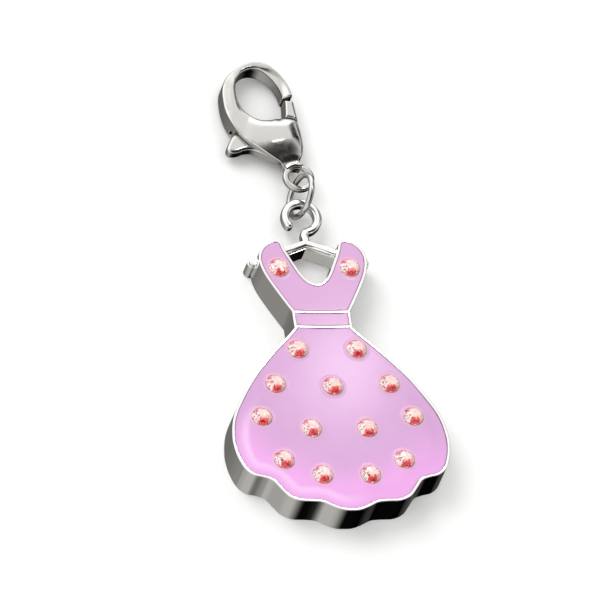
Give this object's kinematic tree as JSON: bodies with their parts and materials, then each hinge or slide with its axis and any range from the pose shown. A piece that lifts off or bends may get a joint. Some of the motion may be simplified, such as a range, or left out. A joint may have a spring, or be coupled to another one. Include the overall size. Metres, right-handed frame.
{
  "type": "enamelled dress charm on a lobster clasp",
  "caption": "Flat dress-shaped charm of plated metal with enamel cells and set stones, hung from a coat hanger, a jump ring and a lobster clasp.",
  "frame": {"origin": "centre of the bounding box's bottom face, on the surface that the charm lies on", "axes": "+Z out of the dress's front, +Y along the charm towards the clasp, +X to the right as seen from the front"},
  "size_m": [0.018, 0.0426, 0.0038],
  "materials": {
    "polished_metal": "polished plated zinc alloy",
    "enamel": "glossy filled enamel",
    "cut_stone": "cut and foiled glass"
  },
  "bodies": {
    "charm": {"dress_casting": "polished_metal", "enamel_skirt": "enamel", "enamel_waist": "enamel", "enamel_bodice": "enamel", "stone_strap_right": "cut_stone", "stone_strap_left": "cut_stone", "stone_skirt_1": "cut_stone", "stone_skirt_2": "cut_stone", "stone_skirt_3": "cut_stone", "stone_skirt_4": "cut_stone", "stone_skirt_5": "cut_stone", "stone_skirt_6": "cut_stone", "stone_skirt_7": "cut_stone", "stone_skirt_8": "cut_stone", "stone_skirt_9": "cut_stone", "stone_skirt_10": "cut_stone", "stone_skirt_11": "cut_stone", "stone_skirt_12": "cut_stone", "stone_skirt_13": "cut_stone", "jump_ring": "polished_metal", "clasp_body": "polished_metal", "clasp_pin": "polished_metal"},
    "lever": {"clasp_lever": "polished_metal"}
  },
  "joints": [
    {"name": "lever_hinge", "type": "hinge", "parent": "charm", "child": "lever", "pos_m": [-0.00026, 0.0132, 0.0012], "axis": [0, 0, 1], "range_deg": [0, 22], "stiffness_Nm_per_rad": 0.005, "springref_deg": -5.73}
  ]
}
